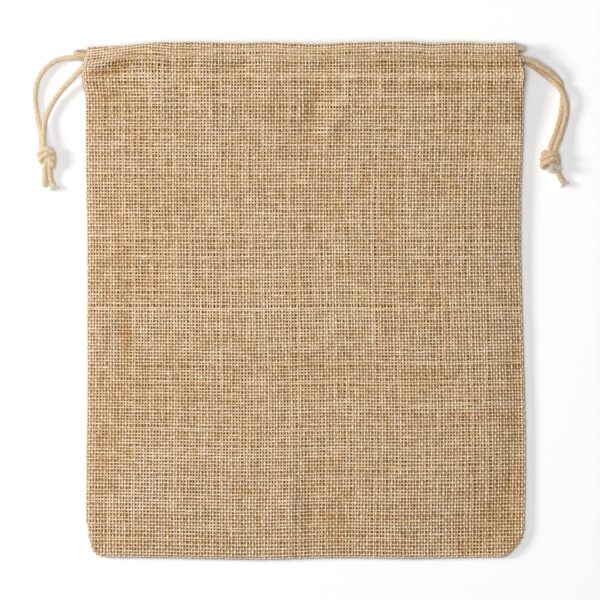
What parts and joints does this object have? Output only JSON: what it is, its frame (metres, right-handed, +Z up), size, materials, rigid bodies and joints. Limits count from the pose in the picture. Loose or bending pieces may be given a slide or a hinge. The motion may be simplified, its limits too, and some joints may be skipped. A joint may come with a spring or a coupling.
{
  "type": "jute drawstring bag",
  "caption": "Flat plain-woven jute bag lying on its back, with a turned-in casing along its mouth and knotted cotton drawstrings that pull it shut.",
  "frame": {"origin": "middle of the bag's own box, on the table that it lies on", "axes": "+X to the right across the bag, +Y towards its mouth, +Z up from the table through the front panel"},
  "size_m": [0.3043, 0.2939, 0.019],
  "materials": {
    "jute_cloth": "open plain weave of slubby natural jute yarn",
    "cotton_cord": "round unbleached cotton cord"
  },
  "bodies": {
    "root": {"front_panel": "jute_cloth", "back_panel": "jute_cloth", "left_drawstring": "cotton_cord", "right_drawstring": "cotton_cord", "left_knot": "cotton_cord", "right_knot": "cotton_cord"}
  },
  "joints": []
}
